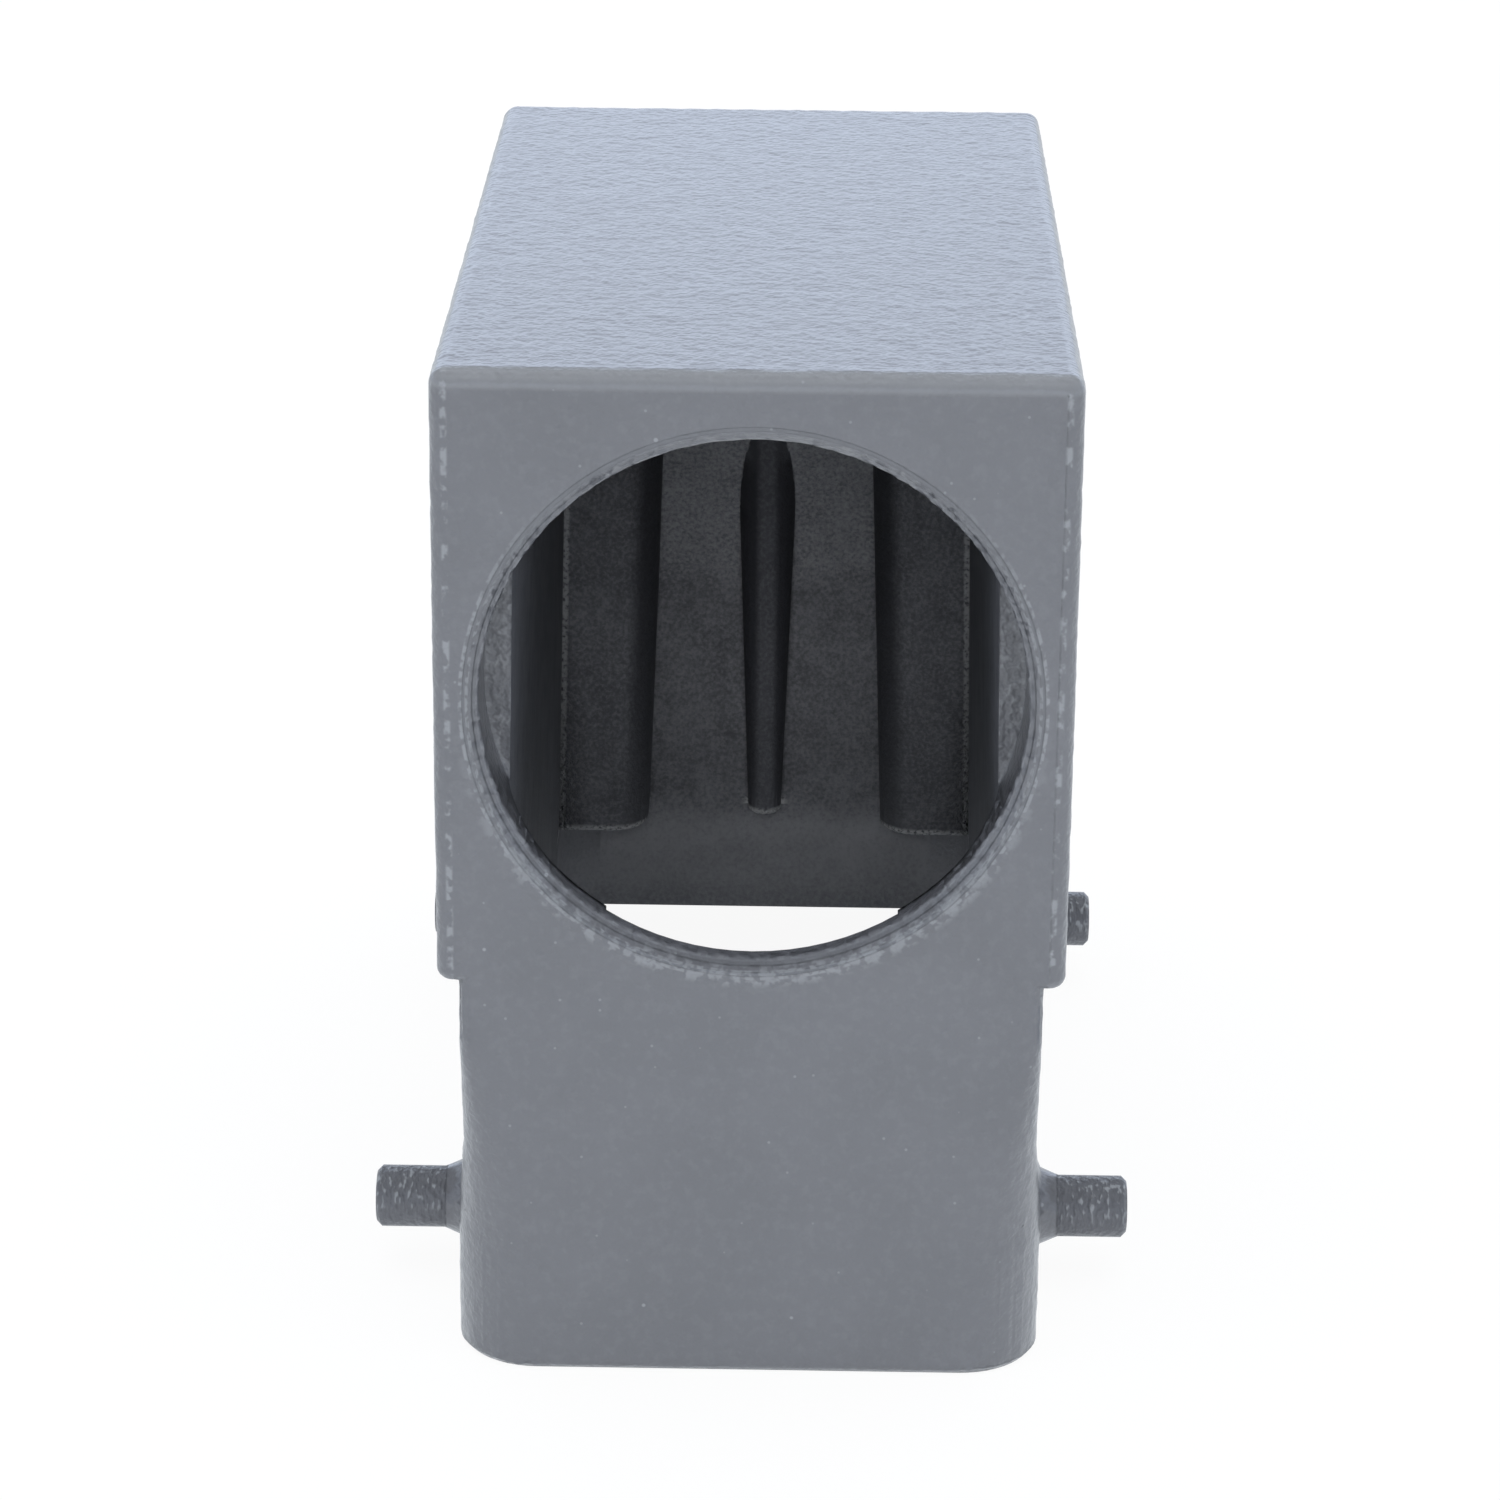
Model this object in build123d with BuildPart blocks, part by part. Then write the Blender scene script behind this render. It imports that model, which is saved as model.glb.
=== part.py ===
from build123d import *
from math import radians, tan
import os

# Rim and skirt, which slip over the mating housing
rim_length = 93.5
rim_width = 43.0
rim_corner = 6.0
rim_edge = 0.4
band_height = 10.5
band_step = 0.55
flare_height = 6.5
taper_height = 9.0
neck_height = 4.6
neck_corner = 1.2

# Upper block, as high and wide as the round cable entry needs
entry_radius = 19.2
entry_depth = 6.5
entry_chamfer = 0.9
entry_cover = 4.9
entry_side = 3.3
entry_floor = 2.1
block_edge = 1.3
shoulder_edge = 1.0
rear_lean = 15.6
rear_rise = 0.5
rear_bend = 13.0

# Cavity, drafted so that it widens towards the open rim
side_wall = 3.1
near_wall = 2.7
near_window_wall = 2.0
far_wall = 3.6
top_wall = 3.2
cavity_draft = 1.2
cavity_corner = 3.5
ceiling_fillet = 1.2

# Screw bosses for the contact insert
screw_pitch_x = 27.0
screw_pitch_y = 77.5
screw_hole_radius = 1.65
screw_hole_depth = 10.0
boss_radius = 3.1
boss_floor = 10.0
boss_draft = 2.1
boss_edge = 0.4

# Wedge rib on the far end wall
rib_width = 2.9
rib_depth = 3.05
rib_draft = 2.0

# Locking pegs with hollow roots
peg_radius = 2.35
peg_height = 5.2
peg_pitch = 57.5
peg_length = 5.2
peg_root = 1.95
peg_root_knee = 0.7
peg_edge = 0.4

# Levels and widths that follow from the sizes above
flare_top = band_height + flare_height
taper_top = flare_top + taper_height
shoulder_height = taper_top + neck_height
entry_height = shoulder_height + entry_floor + entry_radius
height = entry_height + entry_radius + entry_cover
block_width = 2 * (entry_radius + entry_side)
skirt_width = rim_width - 2 * band_step
flare_share = flare_height / (flare_height + taper_height)
flare_corner = rim_corner + flare_share * (neck_corner - rim_corner)
ceiling = height - top_wall
cavity_foot = rim_width / 2 - side_wall
cavity_roof = cavity_foot - ceiling * tan(radians(cavity_draft))
near_face = -rim_length / 2
far_face = rim_length / 2


def end_profile(front, back, foot, roof, bend_radius):
    """Side view: upright at the front, leaning in at the back above the shoulder."""
    start = (back, shoulder_height + rear_rise)
    bend = JernArc(start=start, tangent=(0, 1), radius=bend_radius, arc_size=rear_lean)
    lean_run = (roof - (bend @ 1).Y) * tan(radians(rear_lean))
    roof_back = ((bend @ 1).X - lean_run, roof)
    Polyline(bend @ 1, roof_back, (front, roof), (front, foot), (back, foot), start)


# Straight band above the rim, with a broken lower edge
with BuildPart() as band:
    with BuildSketch():
        RectangleRounded(rim_width, rim_length, rim_corner)
    extrude(amount=band_height)
    chamfer(band.edges().group_by(Axis.Z)[0], length=rim_edge)

# Skirt between the band and the shoulder: wide round corners tighten as they rise
with BuildPart() as skirt:
    with BuildSketch(Plane.XY.offset(band_height)):
        RectangleRounded(rim_width, rim_length, rim_corner)
    with BuildSketch(Plane.XY.offset(flare_top)):
        RectangleRounded(skirt_width, rim_length, flare_corner)
    with BuildSketch(Plane.XY.offset(taper_top)):
        RectangleRounded(skirt_width, rim_length, neck_corner)
    with BuildSketch(Plane.XY.offset(shoulder_height + shoulder_edge)):
        RectangleRounded(skirt_width, rim_length, neck_corner)
    loft(ruled=True)

# Upper block with rounded edges
with BuildPart() as block:
    with BuildSketch(Plane.YZ):
        with BuildLine():
            end_profile(near_face, far_face, shoulder_height, height, rear_bend)
        make_face()
    extrude(amount=block_width / 2, both=True)
    foot_sides = block.edges().filter_by(Axis.Y).group_by(Axis.Z)[0]
    foot_ends = block.edges().filter_by(Axis.X).group_by(Axis.Z)[0]
    fillet(block.edges() - foot_sides - foot_ends, radius=block_edge)
    foot_sides = block.edges().filter_by(Axis.Y).group_by(Axis.Z)[0]
    fillet(foot_sides, radius=shoulder_edge)

# Core that leaves the cavity: side walls from one view, end walls from the other
with BuildPart() as core:
    with BuildSketch(Plane.YZ):
        with BuildLine():
            inner_bend = rear_bend - far_wall
            end_profile(near_face + near_wall, far_face - far_wall, 0, ceiling, inner_bend)
        make_face()
    extrude(amount=rim_width, both=True)
    with BuildSketch(Plane.XZ):
        with BuildLine():
            foot_left = (-cavity_foot, 0)
            foot_right = (cavity_foot, 0)
            roof_right = (cavity_roof, ceiling)
            roof_left = (-cavity_roof, ceiling)
            Polyline(foot_left, foot_right, roof_right, roof_left, close=True)
        make_face()
    extrude(amount=rim_length, both=True, mode=Mode.INTERSECT)

    end_corners = core.edges().filter_by(Axis.X, reverse=True).filter_by(Axis.Y, reverse=True)
    fillet(end_corners, radius=cavity_corner)
    roof_edges = core.faces().sort_by(Axis.Z)[-1].edges()
    fillet(roof_edges, radius=ceiling_fillet)


# Recess in the near end wall, between the screw bosses and up to the cable entry
with BuildPart() as window:
    with BuildSketch(Plane.XZ.offset(-near_face - near_window_wall)):
        with Locations((0, entry_height / 2)):
            Rectangle(screw_pitch_x - 2 * boss_radius, entry_height)
    extrude(amount=-2 * near_wall)

# Screw bosses fill the far corners, round on their inner edge and wider as they rise
with BuildPart() as far_bosses:
    with BuildSketch(Plane.XY.offset(boss_floor)) as boss_outline:
        with Locations((screw_pitch_x / 2 - boss_radius, screw_pitch_y / 2 - boss_radius)):
            Rectangle(rim_width, rim_width, align=(Align.MIN, Align.MIN))
        inner_corner = boss_outline.vertices().sort_by(Axis.X)[:2].sort_by(Axis.Y)[0]
        fillet(inner_corner, radius=boss_radius)
    extrude(amount=ceiling - boss_floor + boss_edge, taper=-boss_draft)
    chamfer(far_bosses.edges().group_by(Axis.Z)[0], length=boss_edge)
    mirror(about=Plane.YZ)

# The near pair ends at the shoulder, clear of the cable entry
with BuildPart() as near_bosses:
    mirror(far_bosses.part, about=Plane.XZ)
    split(bisect_by=Plane.XY.offset(shoulder_height), keep=Keep.BOTTOM)

# Rib with a half-round nose, wider and deeper as it rises
with BuildPart() as rib:
    with BuildSketch(Plane.XY.offset(boss_floor)):
        nose_centre = far_face - far_wall - rib_depth + rib_width / 2
        with Locations((0, nose_centre)):
            Circle(rib_width / 2)
            Rectangle(rib_width, rim_width, align=(Align.CENTER, Align.MIN))
    extrude(amount=ceiling - boss_floor + boss_edge, taper=-rib_draft)
    chamfer(rib.edges().group_by(Axis.Z)[0], length=boss_edge)

# Cavity: the core with the recess added, and the bosses and the rib left standing
with BuildPart() as cavity:
    add(core)
    add(window)
    add(far_bosses, mode=Mode.SUBTRACT)
    add(near_bosses, mode=Mode.SUBTRACT)
    add(rib, mode=Mode.SUBTRACT)

# Locking peg turned about its own axis, with a hollow root of two cones that grows out of the band
with BuildPart() as pegs:
    with BuildSketch(Plane.XY.offset(peg_height)):
        with BuildLine():
            peg_y = peg_pitch / 2
            wall_x = rim_width / 2
            seat_x = wall_x + peg_root
            end_x = seat_x + peg_length
            root_y = peg_y + peg_radius + peg_root
            bed = (wall_x - side_wall / 2, peg_y)
            bed_rim = (wall_x - side_wall / 2, root_y)
            root = (wall_x, root_y)
            seat = (seat_x, peg_y + peg_radius)
            end_rim = (end_x, peg_y + peg_radius)
            end = (end_x, peg_y)
            knee = (seat_x - peg_root * peg_root_knee, root_y - peg_root * peg_root_knee)
            Polyline(bed, bed_rim, root, knee, seat, end_rim, end, close=True)
        make_face()
    revolve(axis=Axis((0, peg_y, peg_height), (1, 0, 0)))
    chamfer(pegs.edges().filter_by(GeomType.CIRCLE).sort_by(Axis.X)[-1], length=peg_edge)
    mirror(about=Plane.YZ)
    mirror(about=Plane.XZ)

# Hood: one casting
with BuildPart() as hood:
    add(band)
    add(skirt)
    add(block)
    add(pegs)
    add(cavity, mode=Mode.SUBTRACT)
    entry_face = Plane(origin=(0, near_face, entry_height), x_dir=(1, 0, 0), z_dir=(0, -1, 0))
    with Locations(entry_face):
        Hole(radius=entry_radius, depth=entry_depth)
    entry_rim = hood.edges().filter_by(GeomType.CIRCLE).sort_by(Axis.Y)[0]
    chamfer(entry_rim, length=entry_chamfer)
    boss_faces = Plane(origin=(0, 0, boss_floor), z_dir=(0, 0, -1))
    with Locations(boss_faces):
        with GridLocations(screw_pitch_x, screw_pitch_y, 2, 2):
            Hole(radius=screw_hole_radius, depth=screw_hole_depth)

os.makedirs("parts", exist_ok=True)
hood.part.label = "hood"
export_step(hood.part, "parts/hood.step")
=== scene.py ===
import bpy
import math
from mathutils import Matrix, Vector, noise


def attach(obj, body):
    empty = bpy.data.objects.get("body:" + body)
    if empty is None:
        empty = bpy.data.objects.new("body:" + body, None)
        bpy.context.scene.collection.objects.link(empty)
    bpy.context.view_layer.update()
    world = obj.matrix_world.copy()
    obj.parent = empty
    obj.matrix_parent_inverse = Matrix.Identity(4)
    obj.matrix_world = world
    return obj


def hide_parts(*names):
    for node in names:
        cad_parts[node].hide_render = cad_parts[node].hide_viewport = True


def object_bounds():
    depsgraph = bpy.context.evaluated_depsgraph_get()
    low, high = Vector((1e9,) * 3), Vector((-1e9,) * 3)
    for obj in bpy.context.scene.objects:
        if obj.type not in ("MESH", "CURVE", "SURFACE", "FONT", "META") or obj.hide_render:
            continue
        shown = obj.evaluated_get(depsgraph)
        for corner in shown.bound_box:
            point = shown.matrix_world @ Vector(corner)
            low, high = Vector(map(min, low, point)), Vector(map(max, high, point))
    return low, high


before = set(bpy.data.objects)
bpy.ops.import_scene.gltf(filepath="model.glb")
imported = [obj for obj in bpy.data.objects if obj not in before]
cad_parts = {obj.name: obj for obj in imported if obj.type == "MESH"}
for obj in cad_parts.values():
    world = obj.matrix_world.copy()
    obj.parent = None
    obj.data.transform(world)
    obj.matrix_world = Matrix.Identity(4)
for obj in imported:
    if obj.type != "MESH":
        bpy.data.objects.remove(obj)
cad_low, cad_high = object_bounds()

MM = 0.001

# The camera: its lens in pixels of the picture, its place in millimetres, its turns in degrees
PICTURE_WIDTH = 1500
FOCAL_PIXELS = 4749.8
SENSOR_WIDTH = 36.0
CAMERA_PLACE = (3.80, -357.64, 164.98)
CAMERA_YAW = -0.74
CAMERA_PITCH = 20.49
CAMERA_ROLL = 0.552

# Faces, levels and edges of the hood, in millimetres
FRONT = -46.75
TOP = 76.0
BLOCK_SIDE = 22.5
BLOCK_EDGE = 1.3
SHOULDER_HEIGHT = 30.6
RIM_SIDE = 21.5
PEG_SEAT = 23.3
ABOVE_PEG = 12.0
ENTRY_HEIGHT = 51.9
ENTRY_RADIUS = 19.2
ENTRY_CHAMFER = 0.9
ENTRY_DEPTH = -40.2
FAR_WALL = 43.15
FAR_BEND = 32.39
BOSS_FLOOR = 10.0
BOSS_FRONT = 35.4
WALL_CORNER = 18.2

# Slopes inside the hood, as a run for each millimetre of height
FAR_LEAN = 0.2792
WALL_DRAFT = 0.021
BOSS_DRAFT = 0.0367

# Bounds of the bare cavity in millimetres: just past its faces, and just above the rim
CAVITY_SIDE = 19.0
CAVITY_FRONT = -44.9
CAVITY_BACK = 45.0
CAVITY_ROOF = 73.0
CAVITY_FOOT = 0.01

# How far from its axis the coated shoulders in the cable entry start, in millimetres
SHOULDER_REACH = 17.0

# The uneven skin of the coat, in millimetres
GRID_SPACING = 0.75
MERGE_DISTANCE = 0.03
SKIN_DEPTH = 0.11
COARSE_LUMP = 2.4
FINE_LUMP = 0.95
FINE_OFFSET = (7.3, 1.1, 4.2)
FLAT_RIM = 0.05

# Faces that meet at fewer degrees are shaded as one
SHARP_ANGLE = 38

# Colours of the powder coat
COAT_DARK = (0.111, 0.112, 0.124, 1)
COAT_PALE = (0.120, 0.121, 0.134, 1)
COAT_MOTTLE = (0.170, 0.173, 0.187, 1)
# Painted shade on the pegs
COAT_PEG_SHADE = (0.075, 0.078, 0.086, 1)
# Painted light on the rounded front edge of the top
COAT_ROUND_LIGHT = (0.30, 0.305, 0.315, 1)
# Painted shade in the low spots of the grain on the top
COAT_DIP_SHADE = (0.085, 0.080, 0.090, 1)
# Painted shade on the shoulders deep in the cable entry
SHOULDER_SHADE = (0.065, 0.068, 0.075, 1)
SHOULDER_PALE = (0.25, 0.255, 0.27, 1)
ENTRY_SHADE = (0.08, 0.085, 0.095, 1)
COAT_DOT = (0.42, 0.43, 0.45, 1)
# Painted glints on the upright edges, round the cable entry and on the pegs
COAT_GLINT = (0.50, 0.52, 0.54, 1)

# Colours of the bare casting
BARE_DARK = (0.145, 0.147, 0.162, 1)
BARE_PALE = (0.195, 0.198, 0.216, 1)
BARE_STAIN = (0.09, 0.092, 0.103, 1)
# Painted light on the upper part and the foot of the far wall
BARE_PAINTED_LIGHT = (0.42, 0.425, 0.455, 1)
BARE_LOWEST = (0.10, 0.105, 0.118, 1)
# Painted shade on the bosses and the rib
BARE_STANDING_SHADE = (0.07, 0.072, 0.082, 1)
GRIT_PALE = (0.42, 0.425, 0.445, 1)
GRIT_DARK = (0.06, 0.062, 0.07, 1)
# Painted shade on the sides of the rib and the bosses
BARE_FLANK_SHADE = (0.025, 0.026, 0.032, 1)
BARE_EDGE = (0.80, 0.81, 0.82, 1)
BARE_NEAR = (0.12, 0.122, 0.14, 1)

# The studio in metres, and the colours and levels of its paper and sky
FLOOR_SIZE = 6.0
BACKDROP_RADIUS = 2.9
BACKDROP_HEIGHT = 1.4
PAPER = (0.85, 0.86, 0.87, 1)
WHITE = (1, 1, 1, 1)
FLOOR_MIRRORED = (0.90, 0.95, 1.0, 1)
BACKDROP_MIRRORED = (0.62, 0.70, 0.82, 1)
SKY = (0.90, 0.95, 1.0, 1)
SKY_LEVEL = 0.8
SKY_MIRRORED_LEVEL = 0.2


def make_camera():
    """A plain camera in front of the cable entry, looking down at the hood."""
    lens = bpy.data.cameras.new("camera")
    lens.sensor_width = SENSOR_WIDTH
    lens.lens = FOCAL_PIXELS / PICTURE_WIDTH * SENSOR_WIDTH
    lens.clip_start = 0.01
    lens.clip_end = 20.0
    camera = bpy.data.objects.new("camera", lens)
    bpy.context.scene.collection.objects.link(camera)
    yaw, pitch, roll = [math.radians(turn) for turn in (CAMERA_YAW, CAMERA_PITCH, CAMERA_ROLL)]
    turn = Matrix.Rotation(-yaw, 4, "Z") @ Matrix.Rotation(math.pi / 2 - pitch, 4, "X")
    turn = turn @ Matrix.Rotation(roll, 4, "Z")
    place = Matrix.Translation([distance * MM for distance in CAMERA_PLACE])
    camera.matrix_world = place @ turn
    bpy.context.scene.camera = camera


make_camera()


class Value:
    """A shader socket that takes part in Python expressions."""

    def __init__(self, material, socket):
        self.material = material
        self.socket = socket

    def maths(self, operation, *others):
        return self.material.node("ShaderNodeMath", {"operation": operation}, [self, *others])

    def __add__(self, other):
        return self.maths("ADD", other)

    __radd__ = __add__

    def __sub__(self, other):
        return self.maths("SUBTRACT", other)

    def __rsub__(self, other):
        return self.material.node("ShaderNodeMath", {"operation": "SUBTRACT"}, [other, self])

    def __mul__(self, other):
        return self.maths("MULTIPLY", other)

    def __pow__(self, other):
        return self.maths("POWER", other)

    def __abs__(self):
        return self.maths("ABSOLUTE")

    def most(self, other):
        return self.maths("MAXIMUM", other)

    def smooth(self, low, high, first, last):
        """first below low, last above high, smooth between."""
        settings = {"interpolation_type": "SMOOTHSTEP"}
        return self.material.node("ShaderNodeMapRange", settings, [self, low, high, first, last])

    def rise(self, low, high):
        """0 below low, 1 above high, smooth between."""
        return self.smooth(low, high, 0.0, 1.0)

    def fall(self, low, high):
        """1 below low, 0 above high, smooth between."""
        return self.smooth(low, high, 1.0, 0.0)

    def near(self, centre, reach):
        """1 at centre, 0 at reach from it."""
        return abs(self - centre).fall(reach * 0.35, reach)


class Finish:
    """A procedural material, built node by node, with its place in millimetres."""

    def __init__(self, name):
        self.made = bpy.data.materials.new(name)
        self.made.use_nodes = True
        self.tree = self.made.node_tree
        self.shader = self.tree.nodes["Principled BSDF"]
        coordinates = self.tree.nodes.new("ShaderNodeTexCoord")
        inputs = {"Vector": Value(self, coordinates.outputs["Object"]), "Scale": 1 / MM}
        self.place = self.node("ShaderNodeVectorMath", {"operation": "SCALE"}, inputs)
        self.x, self.y, self.z = [
            self.node("ShaderNodeSeparateXYZ", {}, [self.place], axis) for axis in "XYZ"]

    def node(self, kind, settings, inputs, output=0):
        """A new node. Inputs are a list in the node's order, or a dictionary by name or number."""
        made = self.tree.nodes.new(kind)
        for key, value in settings.items():
            setattr(made, key, value)
        pairs = inputs.items() if isinstance(inputs, dict) else enumerate(inputs)
        for key, value in pairs:
            self.join(value, made.inputs[key])
        return Value(self, made.outputs[output])

    def join(self, value, socket):
        if isinstance(value, Value):
            self.tree.links.new(value.socket, socket)
        else:
            socket.default_value = value

    def grain(self, size, detail, roughness, offset=(0, 0, 0), stretch=(1, 1, 1)):
        """Noise from 0 to 1, with lumps about size millimetres across."""
        moved = self.node("ShaderNodeVectorMath", {"operation": "ADD"}, [self.place, offset])
        moved = self.node("ShaderNodeVectorMath", {"operation": "MULTIPLY"}, [moved, stretch])
        inputs = {"Vector": moved, "Scale": 1 / size, "Detail": detail, "Roughness": roughness}
        return self.node("ShaderNodeTexNoise", {}, inputs)

    def dots(self, spacing, radius, share):
        """Round dots of the given radius in a share of the cells of a loose grid."""
        inputs = {"Vector": self.place, "Scale": 1 / spacing}
        far = self.node("ShaderNodeTexVoronoi", {}, inputs, "Distance")
        cell = Value(self, far.socket.node.outputs["Color"])
        pick = self.node("ShaderNodeSeparateColor", {}, [cell], "Red")
        size = radius / spacing
        return far.fall(size * 0.5, size) * pick.rise(1 - share - 0.01, 1 - share)

    def blend(self, share, first, second):
        """A colour between two colours."""
        settings = {"data_type": "RGBA"}
        return self.node("ShaderNodeMix", settings, {0: share, 6: first, 7: second}, 2)

    def layers(self, tone, *layers):
        """A colour with others laid over it, each given as its share and itself."""
        for share, colour in layers:
            tone = self.blend(share, tone, colour)
        return tone

    def bump(self, height, depth):
        """Normal of a height from 0 to 1 that stands depth millimetres."""
        inputs = {"Height": height, "Strength": 1.0, "Distance": depth * MM}
        return self.node("ShaderNodeBump", {}, inputs)

    def set(self, **values):
        for name, value in values.items():
            self.join(value, self.shader.inputs[name.replace("_", " ")])


def powder_coat():
    """Grey powder coat with an orange-peel grain, painted glints on its edges and pegs, painted
    light on the top's rounded front edge, and painted shade on the pegs, the entry's shoulders and
    the grain's low spots on the top.
    """
    coat = Finish("powder_coat")
    side = abs(coat.x)
    from_axis = (coat.x * coat.x + (coat.z - ENTRY_HEIGHT) ** 2.0) ** 0.5
    from_bore = from_axis - ENTRY_RADIUS

    peel = coat.grain(0.62, 1.0, 0.4)
    fine = coat.grain(0.28, 1.0, 0.5, (30, 10, 20))
    cloud = coat.grain(9.0, 3.0, 0.55, (70, 40, 10))
    ripple = coat.grain(0.50, 1.0, 0.4, (13, 9, 60))
    mottle = coat.grain(0.75, 2.0, 0.55, (5, 17, 33))
    streaks = coat.grain(0.42, 1.0, 0.4, (3, 8, 21), (1.4, 0.8, 0.5))
    lumps = coat.grain(0.85, 2.0, 0.5, (41, 2, 11))

    # Parts of the outside
    on_front = coat.y.fall(FRONT + 0.35, FRONT + 1.2)
    on_block = coat.z.rise(SHOULDER_HEIGHT, SHOULDER_HEIGHT + 1.0)
    on_top = coat.z.rise(TOP - 0.5, TOP - 0.2)
    on_peg = side.rise(PEG_SEAT - 0.1, PEG_SEAT + 0.1) * coat.z.fall(ABOVE_PEG - 2, ABOVE_PEG)
    on_shoulder = coat.y.rise(ENTRY_DEPTH - 0.4, ENTRY_DEPTH) * from_bore.fall(0.2, 0.4)
    on_shoulder = on_shoulder * coat.y.fall(ENTRY_DEPTH + 1.0, ENTRY_DEPTH + 2.0)
    # The rounded front edge of the top, which gets painted light, more of it near the top
    on_round = coat.z.rise(TOP - BLOCK_EDGE - 0.2, TOP - BLOCK_EDGE + 0.3)
    on_round = on_round * coat.y.fall(FRONT + BLOCK_EDGE - 0.1, FRONT + BLOCK_EDGE + 0.05)
    high_round = on_round * coat.z.rise(TOP - 0.9, TOP - 0.4)
    back_of_edge = coat.y.rise(FRONT + BLOCK_EDGE, FRONT + BLOCK_EDGE + 0.2)

    # Edges and pegs that get painted glints, lines round the entry with painted shade, a lip along
    # the top's front edge, and painted shade in the low spots of the grain on the top
    upright_edge = side.near(BLOCK_SIDE - 1.1, 0.34) * on_front * on_block
    entry_edge = from_bore.near(ENTRY_CHAMFER + 0.4, 0.2)
    entry_edge = entry_edge.most(from_bore.near(ENTRY_CHAMFER - 0.05, 0.16))
    entry_edge = entry_edge.most(from_bore.near(0.1, 0.16)) * on_front
    low_entry = from_bore.near(ENTRY_CHAMFER + 0.3, 1.0) * on_front * coat.z.fall(34, 54)
    entry_line = from_bore.near(ENTRY_CHAMFER + 0.1, 0.22).most(from_bore.near(0.35, 0.2))
    entry_line = entry_line * on_front
    top_lip = coat.y.near(FRONT + BLOCK_EDGE + 0.25, 0.4) * on_top
    # Painted shade in the low spots of the grain on the top, behind its rounded front edge
    top_dip_shade = on_top * back_of_edge * peel.fall(0.35, 0.5)

    # Painted glints: on the upright edges, on the sides and lower part of the entry's edges, and
    # on the upper halves of the pegs
    painted_glints = upright_edge * lumps.rise(0.50, 0.66) * 0.26
    painted_glints = painted_glints.most(entry_edge * ripple.rise(0.40, 0.60) * coat.z.fall(56, 70) * 0.22)
    painted_glints = painted_glints.most(low_entry * lumps.rise(0.46, 0.60) * 0.20)
    painted_glints = painted_glints.most(on_peg * coat.z.rise(4.0, 6.0) * streaks.rise(0.54, 0.70) * 0.34)
    dots = coat.dots(3.4, 0.20, 0.60).most(coat.dots(1.7, 0.14, 0.5) * 0.6)

    tone = coat.layers(
        coat.blend(cloud.rise(0.3, 0.7), COAT_DARK, COAT_PALE),
        (mottle.rise(0.45, 0.75) * 0.2, COAT_MOTTLE),
        # Painted shade on the pegs
        (on_peg * 0.16, COAT_PEG_SHADE),
        # Painted light on the rounded front edge of the top, stronger near its top
        (on_round * 0.33, COAT_ROUND_LIGHT),
        (high_round * 0.22, COAT_ROUND_LIGHT),
        # Painted shade in the low spots of the grain on the top
        (top_dip_shade * 0.8, COAT_DIP_SHADE),
        # Painted shade on the shoulders deep in the cable entry
        (on_shoulder * 0.3, SHOULDER_SHADE),
        (on_shoulder * ripple.rise(0.50, 0.70) * 0.36, SHOULDER_PALE),
        (entry_line * 0.25, ENTRY_SHADE),
        (dots * 0.34, COAT_DOT),
        # Painted glints
        (painted_glints, COAT_GLINT))

    height = peel * (0.8 + on_top * 0.75) + fine * 0.2
    height = height + low_entry * ripple * 0.9 + top_lip * 0.5
    height = height + on_peg * streaks * 0.8 + on_shoulder * ripple - entry_line * 0.5
    coat.set(Base_Color=tone, Roughness=0.30 + cloud * 0.08, Normal=coat.bump(height, 0.20))
    coat.set(Coat_Weight=0.8 - on_peg * 0.7, Coat_Roughness=0.25, Coat_IOR=1.6)
    return coat.made


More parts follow.
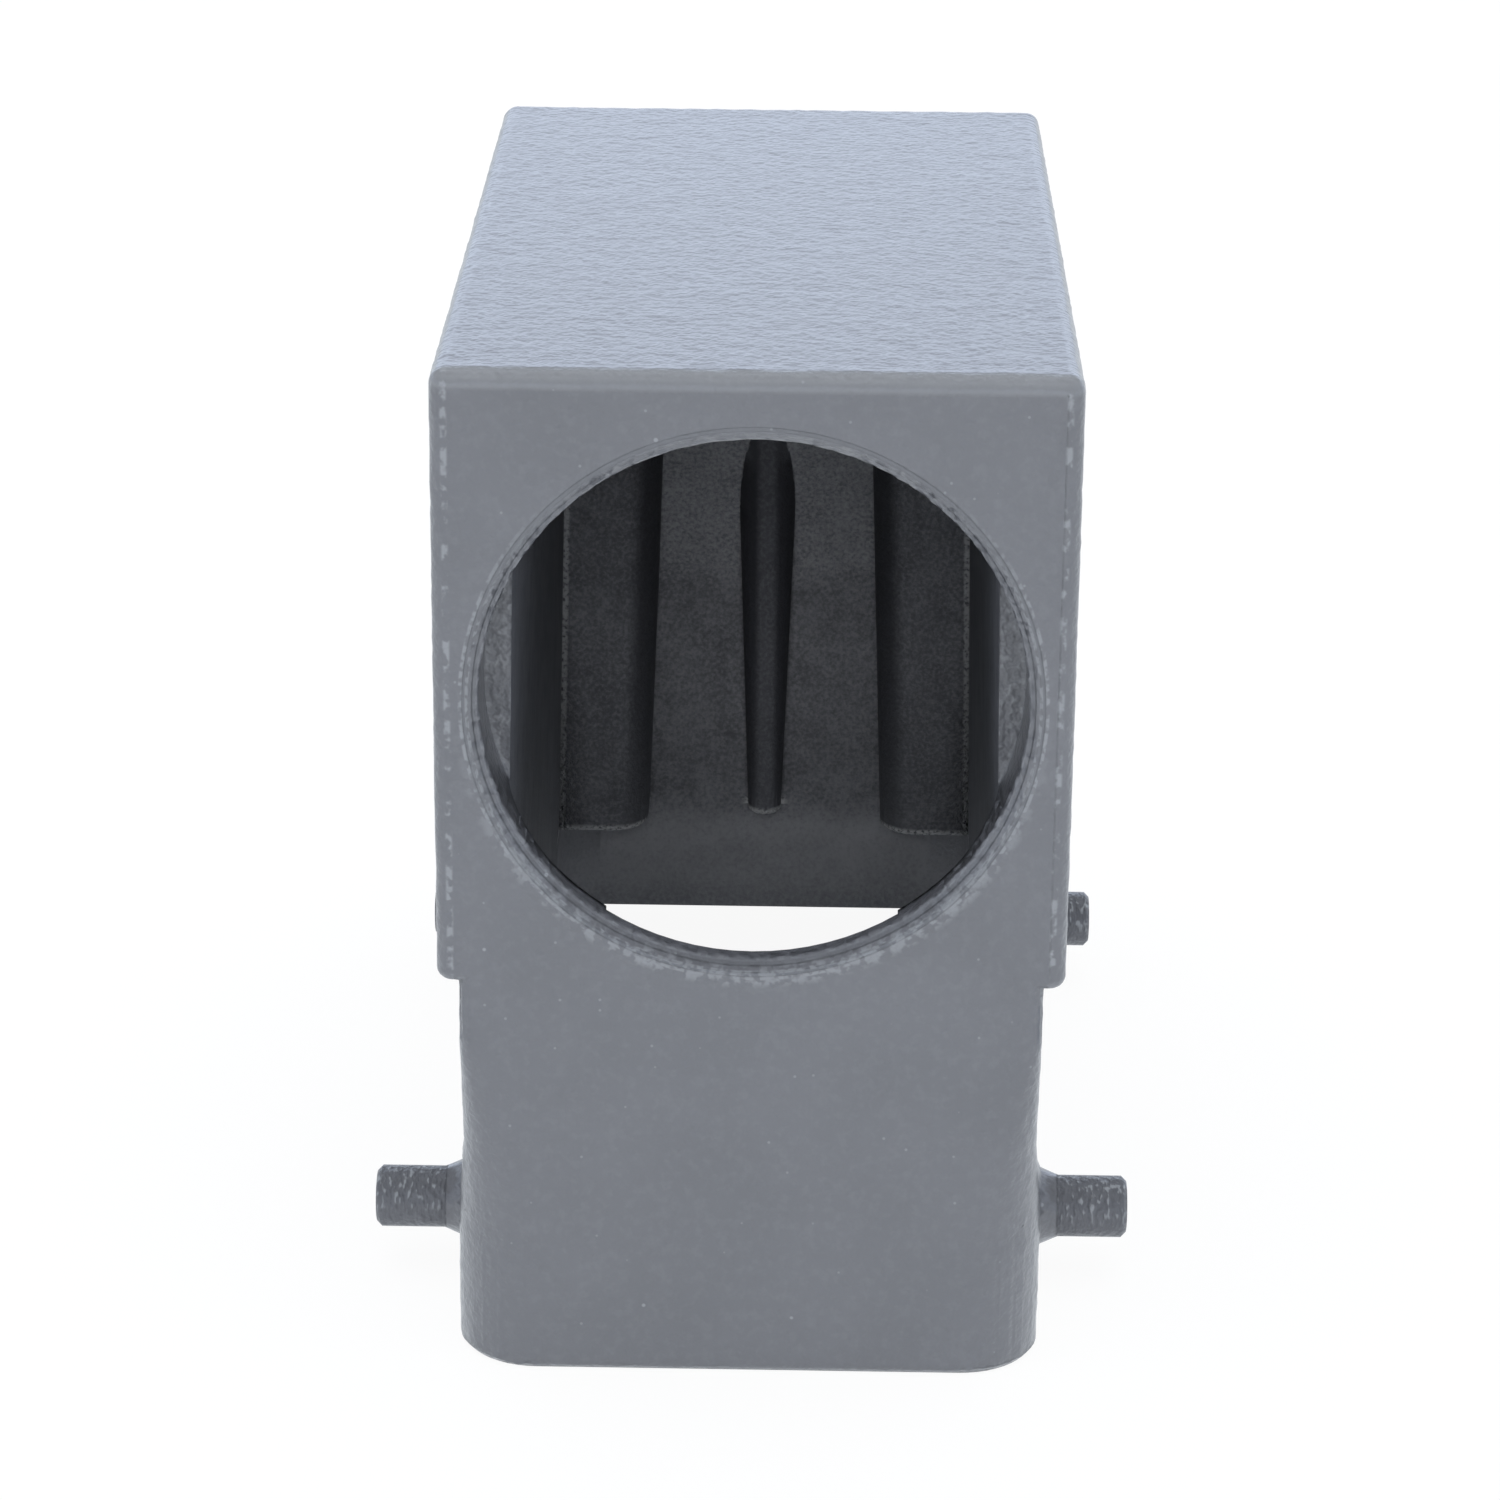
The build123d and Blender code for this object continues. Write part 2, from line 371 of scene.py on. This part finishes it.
def bare_casting():
    """Bare casting of the inside: dark, matt and mottled, paler along its edges, with painted
    light on the upper part and foot of the far wall, and painted shade on its bosses, rib and
    their sides.
    """
    bare = Finish("bare_casting")
    side = abs(bare.x)
    above_floor = bare.z - BOSS_FLOOR

    cloud = bare.grain(6.0, 4.0, 0.6, (20, 50, 80))
    grit = bare.grain(0.32, 2.0, 0.6, (90, 20, 40))
    stain = bare.grain(2.4, 3.0, 0.6, (10, 80, 30))

    # The far end, with the bosses and the rib that stand out of its wall
    far = bare.y.rise(30, 34)
    lean = (bare.z - FAR_BEND).most(0.0) * FAR_LEAN
    stands = (FAR_WALL - lean - bare.y).rise(0.08, 0.20) * above_floor.rise(-0.6, -0.2)
    rib = stands * side.fall(4, 5)
    boss = stands * side.rise(6, 7)
    # The upper part of the far wall and its foot, which get painted light
    upper = bare.z.rise(30, 33.5) * (1 - stands)
    foot = above_floor.fall(-3, 1)
    lowest = bare.z.fall(0.5, 3.0)
    # Painted shade on the sides of the rib and the inner sides of the bosses
    flank_shade = rib * side.rise(0.45, 1.15)
    flank_shade = flank_shade.most(boss * (side + bare.z * BOSS_DRAFT).fall(11.9, 13.4))

    # Edges that catch the light, with the faces under the bosses and the rib left out
    boss_foot = above_floor.near(0.2, 0.6) * side.rise(10.2, 10.8)
    rib_foot = above_floor.near(0.2, 0.7) * side.fall(1.4, 2.2)
    feet = boss_foot.most(rib_foot) * above_floor.rise(0.02, 0.1)
    boss_front = (bare.y + above_floor * BOSS_DRAFT).rise(BOSS_FRONT - 0.1, BOSS_FRONT + 0.1)
    boss_side = (side + bare.z * WALL_DRAFT).near(WALL_CORNER, 0.4)
    boss_side = boss_side * boss_front * above_floor.rise(-1, 1)
    edges = feet.most(boss_side * 0.5) * far

    # Painted light on the upper far wall and its foot; grit of the casting with more pale grains
    # and fewer dark ones where that light is painted, and fewer pale ones on the rib
    painted_light = (upper * 0.24).most(foot * (cloud + stain * 0.5)) * far
    pale_grit_and_light = grit.rise(0.42, 0.72) * (0.30 + upper * 0.25 + foot * 0.15 - rib * 0.18) * far
    dark_grit_and_light = grit.fall(0.30, 0.48) * (0.40 - foot * 0.25) * far

    tone = bare.layers(
        bare.blend(cloud.rise(0.35, 0.65), BARE_DARK, BARE_PALE),
        (stain.rise(0.42, 0.72) * 0.55, BARE_STAIN),
        # Painted light on the upper far wall and its foot
        (painted_light, BARE_PAINTED_LIGHT),
        (lowest * 0.35 * far, BARE_LOWEST),
        # Painted shade on the bosses, more on the rib
        ((stands * 0.31 + rib * 0.47) * far, BARE_STANDING_SHADE),
        (pale_grit_and_light, GRIT_PALE),
        (dark_grit_and_light, GRIT_DARK),
        # Painted shade on the sides of the rib and the bosses
        (flank_shade * 0.85 * far, BARE_FLANK_SHADE),
        (edges * grit.rise(0.30, 0.55) * 0.8, BARE_EDGE),
        ((1 - far) * 0.5, BARE_NEAR))

    height = grit * 0.6 + stain * 0.4
    bare.set(Base_Color=tone, Roughness=0.55 + stain * 0.2, Normal=bare.bump(height, 0.12))
    return bare.made


def bare_side(face):
    """True for a face of the cavity, past the shoulders of the cable entry."""
    x, y, z = face.center / MM
    upright_y = y + max(z - FAR_BEND, 0.0) * FAR_LEAN
    if abs(x) > CAVITY_SIDE or y < CAVITY_FRONT or upright_y > CAVITY_BACK:
        return False
    if z < CAVITY_FOOT or z > CAVITY_ROOF:
        return False
    from_axis = math.hypot(x, z - ENTRY_HEIGHT)
    return not (y < ENTRY_DEPTH and SHOULDER_REACH < from_axis < ENTRY_RADIUS + 0.4)


def on_peg(point):
    """True on a locking peg and its root."""
    x, y, z = point / MM
    return abs(x) > RIM_SIDE + 0.05 and z < ABOVE_PEG


def make_hood():
    """The casting, cut into a close grid outside so that its coat can be uneven."""
    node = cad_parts["hood"]
    hood = node.copy()
    hood.data = node.data.copy()
    hood.name = hood.data.name = "hood_casting"
    hood.parent = None
    for key in list(hood.keys()):
        del hood[key]
    bpy.context.scene.collection.objects.link(hood)
    bpy.ops.object.select_all(action="DESELECT")
    hood.select_set(True)
    bpy.context.view_layer.objects.active = hood

    # Corners are joined and flat faces are made one before the cuts
    bpy.ops.object.mode_set(mode="EDIT")
    bpy.context.tool_settings.mesh_select_mode = (False, False, True)
    bpy.ops.mesh.select_all(action="SELECT")
    bpy.ops.mesh.remove_doubles(threshold=1e-6)
    bpy.ops.mesh.dissolve_limited(angle_limit=0.005)
    bpy.ops.mesh.select_all(action="DESELECT")
    bpy.ops.object.mode_set(mode="OBJECT")

    hood.data.materials.clear()
    hood.data.materials.append(powder_coat())
    hood.data.materials.append(bare_casting())
    for face in hood.data.polygons:
        inside = bare_side(face)
        face.material_index = 1 if inside else 0
        face.select = inside or on_peg(face.center)

    # The inside and the pegs are hidden, so that the cuts leave them whole
    bpy.ops.object.mode_set(mode="EDIT")
    bpy.ops.mesh.hide(unselected=False)
    for axis in range(3):
        span = cad_high[axis] - cad_low[axis]
        count = round(span / (GRID_SPACING * MM))
        normal = Vector([float(i == axis) for i in range(3)])
        for i in range(1, count):
            bpy.ops.mesh.select_all(action="SELECT")
            cut = normal * (cad_low[axis] + span * i / count)
            bpy.ops.mesh.bisect(plane_co=cut, plane_no=normal, threshold=1e-7)
    bpy.ops.mesh.select_all(action="SELECT")
    bpy.ops.mesh.remove_doubles(threshold=MERGE_DISTANCE * MM)
    bpy.ops.mesh.reveal(select=False)
    bpy.ops.object.mode_set(mode="OBJECT")

    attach(hood, "root")
    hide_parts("hood")
    return hood


def roughen(hood):
    """Sinks the coated skin unevenly. The inside, the pegs and the rim's plane stay put."""
    mesh = hood.data
    bare = set()
    for face in mesh.polygons:
        if face.material_index == 1:
            bare.update(face.vertices)
    moves = {}
    for vertex in mesh.vertices:
        point = vertex.co / MM
        if vertex.index in bare or on_peg(vertex.co) or point.z < FLAT_RIM:
            continue
        coarse = noise.noise(point / COARSE_LUMP)
        fine = noise.noise(point / FINE_LUMP + Vector(FINE_OFFSET))
        depth = 0.5 - 0.5 * max(-1.0, min(1.0, coarse * 0.4 + fine * 1.1))
        moves[vertex.index] = vertex.normal * (-SKIN_DEPTH * MM * depth)
    for index, move in moves.items():
        mesh.vertices[index].co += move


def shade(hood):
    """Smooth shading between sharp edges, with flat faces kept flat."""
    bpy.ops.object.shade_smooth_by_angle(angle=math.radians(SHARP_ANGLE))
    settle = hood.modifiers.new("settle", "WEIGHTED_NORMAL")
    settle.keep_sharp = True
    bpy.ops.object.modifier_apply(modifier="settle")


hood = make_hood()
roughen(hood)
shade(hood)


def white_paper(name, share, mirrored):
    """Paper that keeps shadows. The camera sees it as white, and the gloss in its own tint."""
    paper = Finish(name)
    seen = paper.node("ShaderNodeLightPath", {}, [], "Is Camera Ray")
    gloss = paper.node("ShaderNodeLightPath", {}, [], "Is Glossy Ray")
    paper.set(Base_Color=PAPER, Roughness=0.9, Specular_IOR_Level=0.0)
    colour = paper.blend(gloss, WHITE, mirrored)
    glow = paper.node("ShaderNodeEmission", {}, {"Color": colour, "Strength": 1.0})
    surface = Value(paper, paper.shader.outputs[0])
    mixed = paper.node("ShaderNodeMixShader", {}, [seen.most(gloss) * share, surface, glow])
    paper.join(mixed, paper.tree.nodes["Material Output"].inputs["Surface"])
    return paper.made


def make_floor():
    bpy.ops.mesh.primitive_plane_add(size=FLOOR_SIZE, location=(0, 0, 0))
    floor = bpy.context.active_object
    floor.name = "floor"
    floor.data.materials.append(white_paper("floor_paper", 0.93, FLOOR_MIRRORED))


def make_backdrop():
    """A low round wall that shows in the gloss of the top of the hood."""
    bpy.ops.mesh.primitive_cylinder_add(
        vertices=96, radius=BACKDROP_RADIUS, depth=BACKDROP_HEIGHT, end_fill_type="NOTHING",
        location=(0, 0, BACKDROP_HEIGHT / 2))
    backdrop = bpy.context.active_object
    backdrop.name = "backdrop"
    backdrop.data.materials.append(white_paper("backdrop_paper", 0.97, BACKDROP_MIRRORED))


def make_world():
    """A sky that the camera sees as white, and that is dimmer in the gloss than as a light."""
    world = bpy.data.worlds.new("studio")
    world.use_nodes = True
    bpy.context.scene.world = world
    tree = world.node_tree
    background = tree.nodes["Background"]
    path = tree.nodes.new("ShaderNodeLightPath")
    level = tree.nodes.new("ShaderNodeMapRange")
    level.inputs["To Min"].default_value = SKY_LEVEL
    level.inputs["To Max"].default_value = SKY_MIRRORED_LEVEL
    tree.links.new(path.outputs["Is Glossy Ray"], level.inputs["Value"])
    seen = tree.nodes.new("ShaderNodeMix")
    seen.data_type = "RGBA"
    seen.inputs[6].default_value = SKY
    seen.inputs[7].default_value = WHITE
    tree.links.new(path.outputs["Is Camera Ray"], seen.inputs[0])
    tree.links.new(seen.outputs[2], background.inputs["Color"])
    strength = tree.nodes.new("ShaderNodeMath")
    strength.operation = "MAXIMUM"
    tree.links.new(path.outputs["Is Camera Ray"], strength.inputs[0])
    tree.links.new(level.outputs["Result"], strength.inputs[1])
    tree.links.new(strength.outputs["Value"], background.inputs["Strength"])


def softbox(name, place, aim, size, watts, tint=(1, 1, 1), mirrored=False):
    """A soft lamp. Only a mirrored one shows in the gloss of the coat."""
    lamp = bpy.data.lights.new(name, "AREA")
    lamp.shape = "RECTANGLE"
    lamp.size, lamp.size_y = size
    lamp.energy = watts
    lamp.color = tint
    held = bpy.data.objects.new(name, lamp)
    bpy.context.scene.collection.objects.link(held)
    held.location = place
    held.rotation_euler = (Vector(aim) - Vector(place)).to_track_quat("-Z", "Y").to_euler()
    held.visible_glossy = mirrored
    held.visible_camera = False


make_floor()
make_backdrop()
make_world()
softbox("overhead", (0, 0.10, 1.6), (0, 0, 0.05), (2.4, 2.4), 29.0, (0.88, 0.94, 1.0))
softbox("front_fill", (0.0, -1.3, 0.44), (0, 0, 0.04), (0.5, 0.5), 4.2)
softbox("back_sheen", (0, 1.8, 0.52), (0, 0, 0.07), (2.2, 0.75), 4.4, (0.72, 0.81, 1.0), True)

bpy.context.scene.view_settings.view_transform = "Standard"
